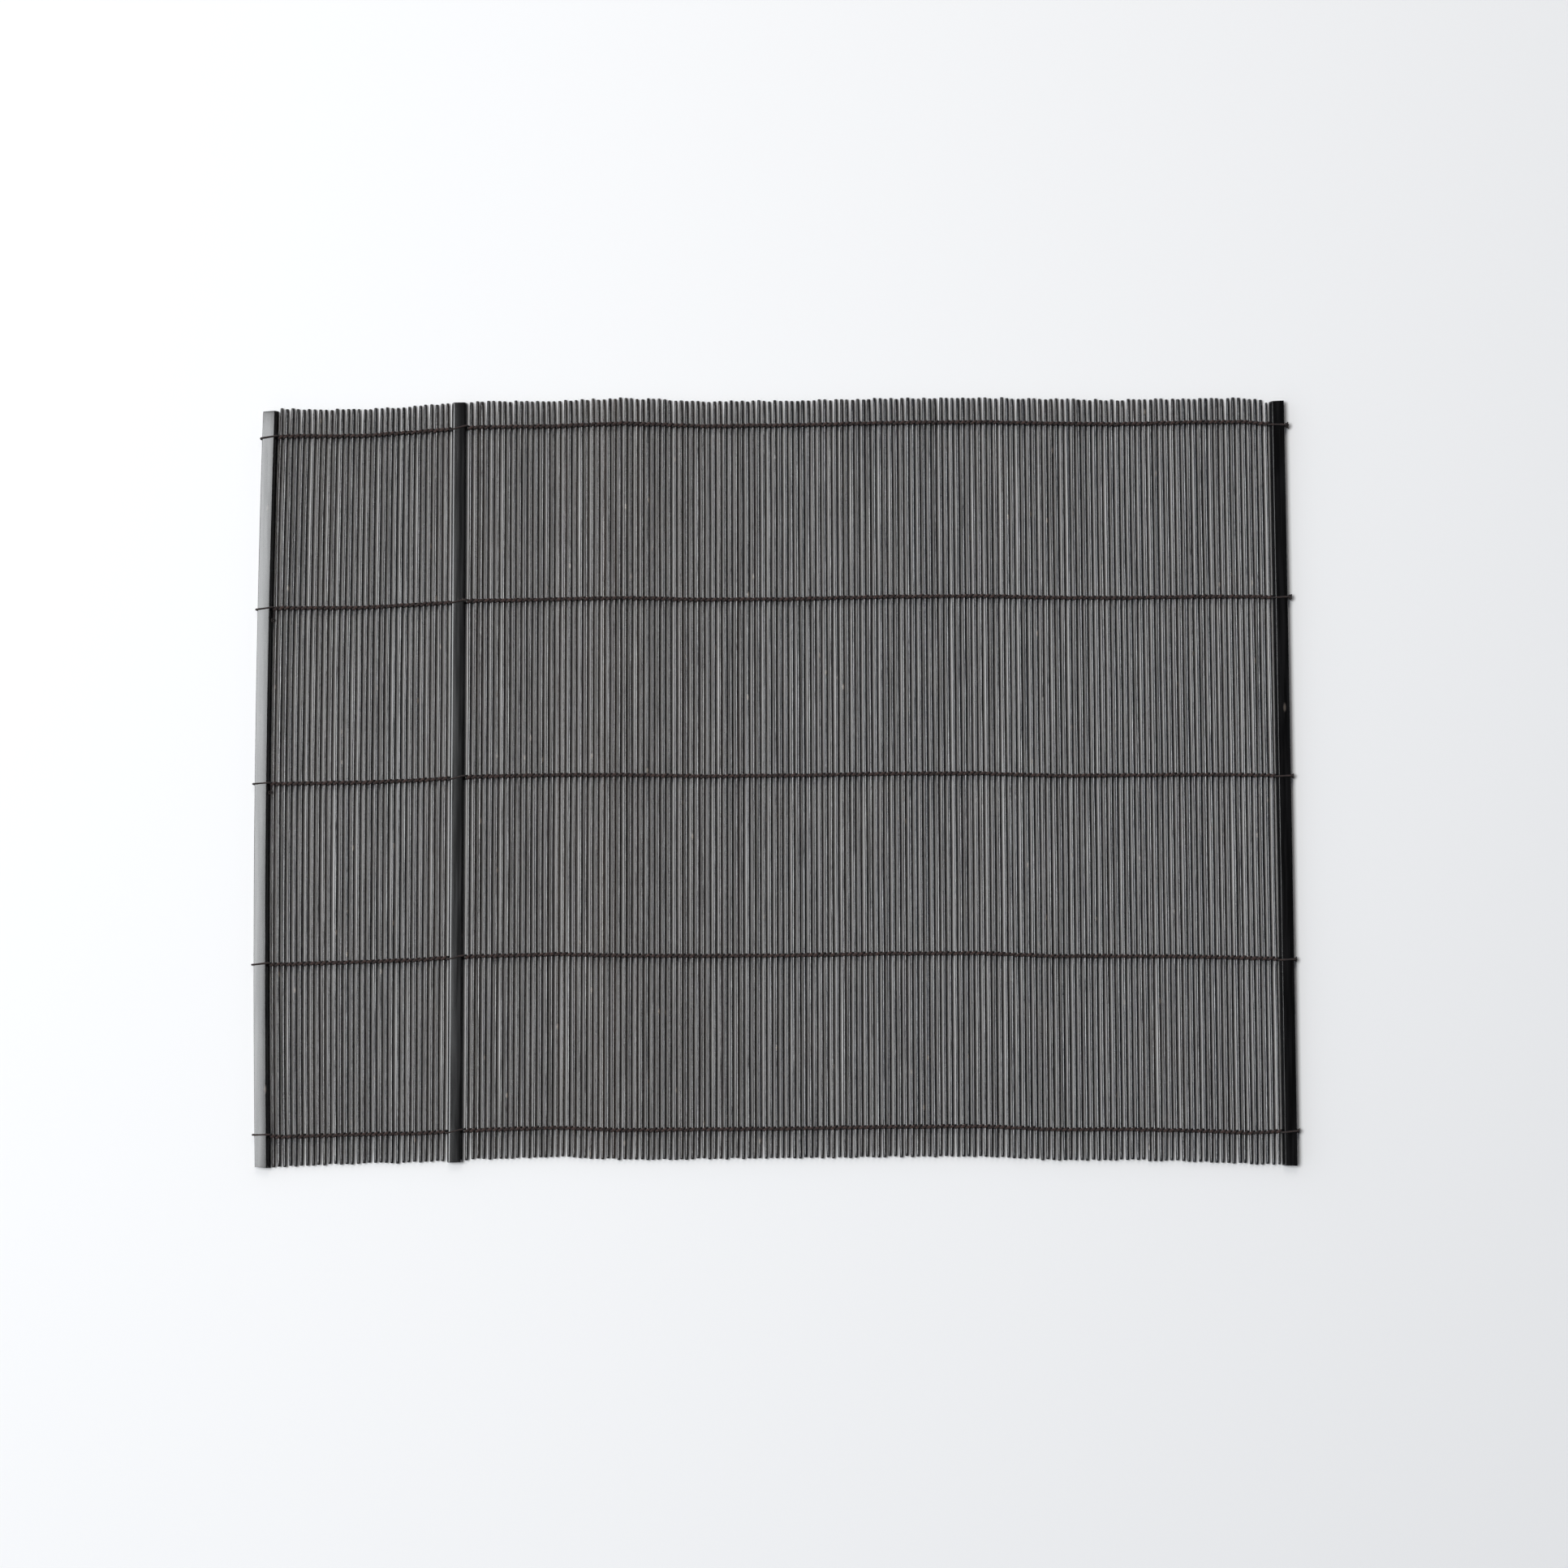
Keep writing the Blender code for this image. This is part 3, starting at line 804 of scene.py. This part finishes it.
def loose_fibres(shape, anchors, count, chance, finish, longest):
    """Short curved fibres that stand off the thread."""
    for _ in range(count):
        anchor = chance.choice(anchors)
        heading = Vector((chance.uniform(-1, 1), chance.uniform(-1, 1), chance.uniform(-0.1, 0.8)))
        heading.normalize()
        curl = Vector((chance.uniform(-1, 1), chance.uniform(-1, 1), chance.uniform(-0.6, 0.2)))
        length = chance.uniform(0.5, 1.0) * longest
        thickness = chance.uniform(0.018, 0.032) * MM
        steps = 6
        points = []
        for step in range(steps):
            share = step / (steps - 1)
            place = anchor + heading * (length * share) + curl * (0.45 * length * share * share)
            place.z = max(place.z, 0.1 * MM)
            points.append((place, 0.0))
        rings = []
        lengths = []
        for index, (point, _) in enumerate(points):
            tangent = (points[min(steps - 1, index + 1)][0] - points[max(0, index - 1)][0]).normalized()
            normal = tangent.orthogonal().normalized()
            side = tangent.cross(normal)
            here = thickness * (1.0 - 0.5 * index / (steps - 1))
            ring = []
            for corner in range(FIBRE_SIDES):
                angle = math.tau * corner / FIBRE_SIDES
                ring.append(point + (normal * math.cos(angle) + side * math.sin(angle)) * here)
            rings.append(ring)
            lengths.append(index * length / steps)
        shape.tube(rings, lengths, finish)


def left_tail(row, drop):
    """A thread's end that lies beside the left slat, below its row, in a small curl."""
    x = slat_side(SLATS[0], row_y(row, SLATS[0]["mid_x"] * MM), 1) + 0.1 * MM
    top = thread_y(row, x)
    points = []
    for step in range(26):
        share = step / 25
        turn = math.tau * 1.2 * max(0.0, share - 0.45) / 0.55
        fall = min(share / 0.45, 1.0) * drop
        points.append((Vector((
            x + 0.55 * MM * math.sin(turn) + 0.3 * MM * math.sin(5.0 * share),
            top - fall - 0.55 * MM * (1.0 - math.cos(turn)),
            2.9 * MM + 0.35 * MM * math.sin(turn / 2) - 0.5 * MM * math.sin(math.pi * min(share / 0.45, 1.0)),
        )), 0.5))
    return points


def twined_row(row, material):
    """One row: a thread folded round the left slat, its two halves twined across and knotted."""
    shape = Shape()
    chance = random.Random(100 + row)
    passed = carriers(row)
    over = strand_path(row, passed, True, chance)
    under = strand_path(row, passed, False, chance)
    folded = under[:0:-1] + over
    rings, lengths = strand_rings(folded, chance)
    # Painted shade along the strand: lightest midway past each stick, darkest in the gaps between sticks, and
    # partly light where the strand is thinned over a slat.
    painted_lightness = [lift if lift > 0.0 else THINNED_TO_LIT * lift for _, lift in folded]
    shape.tube(rings, lengths, [(share, 0.0, 0.5) for share in painted_lightness])

    end = over[-1][0]
    out, size = KNOTS[row]
    centre = Vector((end.x - LOOP_SIDE + out * MM, end.y, 2.5 * MM))
    turn = chance.uniform(0.0, math.tau)
    knot = knot_points(centre, (0.42 * size * MM, 0.90 * size * MM, 0.75 * size * MM), turn)
    rings, lengths = free_rings(knot, lambda share: 0.45 * size * MM)
    shape.tube(rings, lengths, FLUFF)
    for side in (-1, 1):
        tail = []
        outward, along = chance.uniform(0.2, 0.5), side * chance.uniform(0.5, 1.0)
        heading = Vector((outward, along, chance.uniform(-0.3, 0.1)))
        for step in range(6):
            share = step / 5
            place = centre + heading.normalized() * (1.6 * size * MM * share)
            place.z -= 0.3 * MM * share * share
            tail.append((place, 0.0))
        rings, lengths = free_rings(tail, lambda share: (0.32 - 0.12 * share) * MM)
        shape.tube(rings, lengths, FLUFF)

    for tail_row, drop in LEFT_TAILS:
        if tail_row == row:
            shape.tube(*free_rings(left_tail(row, drop), lambda share: TAIL_RADIUS), FLUFF)

    anchors = [point for point, lift in over + under if point.z > STICK_AXIS_HEIGHT]
    loose_fibres(shape, anchors, 300, chance, FLUFF, 1.0 * MM)
    loose_fibres(shape, [point for point, _ in knot], 40, chance, FLUFF, 1.1 * MM)
    for pale_row, place, count in PALE_FIBRES:
        if pale_row == row:
            near = [point for point in anchors if abs(point.x / MM - place) < 3.0]
            loose_fibres(shape, near, count, chance, PALE_FLUFF, 1.5 * MM)
    return shape.make(f"twined_row_{row + 1}", material)


def place_camera():
    """Almost straight down, from a little towards the near side."""
    tilt = math.radians(4.544)
    roll = math.radians(-0.163)
    target = Vector((4.133, -2.383, 0.0)) * MM
    distance = 1.40089
    forward = Vector((0.0, math.sin(tilt), -math.cos(tilt)))
    right = Vector((1.0, 0.0, 0.0))
    up = right.cross(forward)
    across = right * math.cos(roll) + up * math.sin(roll)
    upward = up * math.cos(roll) - right * math.sin(roll)
    data = bpy.data.cameras.new("overhead_camera")
    data.sensor_fit = "HORIZONTAL"
    data.angle = math.radians(27.36)
    data.clip_start = 0.01
    data.clip_end = 50.0
    camera = bpy.data.objects.new("overhead_camera", data)
    turned = Matrix((across, upward, -forward)).transposed().to_4x4()
    camera.matrix_world = Matrix.Translation(target - forward * distance) @ turned
    bpy.context.scene.collection.objects.link(camera)
    bpy.context.scene.camera = camera


def place_floor():
    mesh = bpy.data.meshes.new("white_table")
    reach = 4.0
    mesh.from_pydata([(-reach, -reach, 0), (reach, -reach, 0), (reach, reach, 0), (-reach, reach, 0)],
                     [], [(0, 1, 2, 3)])
    material, nodes, shader = new_material("white_table", 0.6)
    shader.inputs["Base Color"].default_value = (0.925, 0.920, 0.918, 1.0)
    shader.inputs["Specular IOR Level"].default_value = 0.2
    mesh.materials.append(material)
    floor = bpy.data.objects.new("white_table", mesh)
    bpy.context.scene.collection.objects.link(floor)


def soft_panel(name, position, size, radiance, colour):
    """A rectangular light turned to the middle of the mat, given by its own brightness."""
    data = bpy.data.lights.new(name, "AREA")
    data.shape = "RECTANGLE"
    data.size, data.size_y = size
    data.energy = radiance * math.pi * size[0] * size[1]
    data.color = colour
    panel = bpy.data.objects.new(name, data)
    place = Vector(position)
    panel.matrix_world = Matrix.Translation(place) @ (-place).to_track_quat("-Z", "Y").to_matrix().to_4x4()
    panel.visible_camera = False
    bpy.context.scene.collection.objects.link(panel)


def place_lights():
    """Soft panels high on the left and beyond the far side, and pale walls round a dark ceiling."""
    soft_panel("left_panel", (-1.16, 0.16, 2.41), (1.4, 1.15), 11.6, (0.965, 0.985, 1.0))
    soft_panel("far_panel", (-0.10, 1.55, 1.75), (0.9, 0.9), 3.2, (1.0, 0.95, 0.88))

    world = bpy.data.worlds.new("pale_room")
    bpy.context.scene.world = world
    world.use_nodes = True
    nodes = Nodes(world.node_tree)
    background = world.node_tree.nodes["Background"]
    heading = nodes.split(nodes.add("ShaderNodeTexCoord").outputs["Generated"])
    ramp = nodes.add("ShaderNodeValToRGB")
    stops = ramp.color_ramp.elements
    stops[0].position = 0.0
    stops[0].color = (0.74, 0.77, 0.82, 1.0)
    stops[1].position = 0.80
    stops[1].color = (0.022, 0.023, 0.026, 1.0)
    middle = stops.new(0.35)
    middle.color = (0.34, 0.36, 0.40, 1.0)
    nodes.join(heading[2], ramp.inputs[0])
    nodes.join(ramp.outputs[0], background.inputs[0])
    far_wall = nodes.spread(heading[1], -0.2, 0.9, 0.25, 1.3)
    left_wall = nodes.spread(heading[0], -0.9, 0.1, 2.2, 0.0)
    nodes.join(nodes.math("ADD", far_wall, left_wall), background.inputs[1])
    bpy.context.scene.view_settings.view_transform = "Standard"


def dress(piece, node):
    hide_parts(node)
    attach(piece, "root")
    return piece


place_camera()
place_floor()
place_lights()

grain_group = make_grain_group()
wear_group = make_wear_group()
stick_finish = stick_material(grain_group, wear_group)
slat_finish = slat_material(grain_group, wear_group)
thread_finish = thread_material()

slat_pieces = [dress(slat_piece(slat, slat_finish), slat["node"]) for slat in SLATS]
run_pieces = [dress(stick_run(run, stick_finish), run["node"]) for run in RUNS]
row_pieces = [
    dress(twined_row(row, thread_finish), f"thread_row_{row + 1}")
    for row in range(len(THREAD_ROW_SHARES))
]
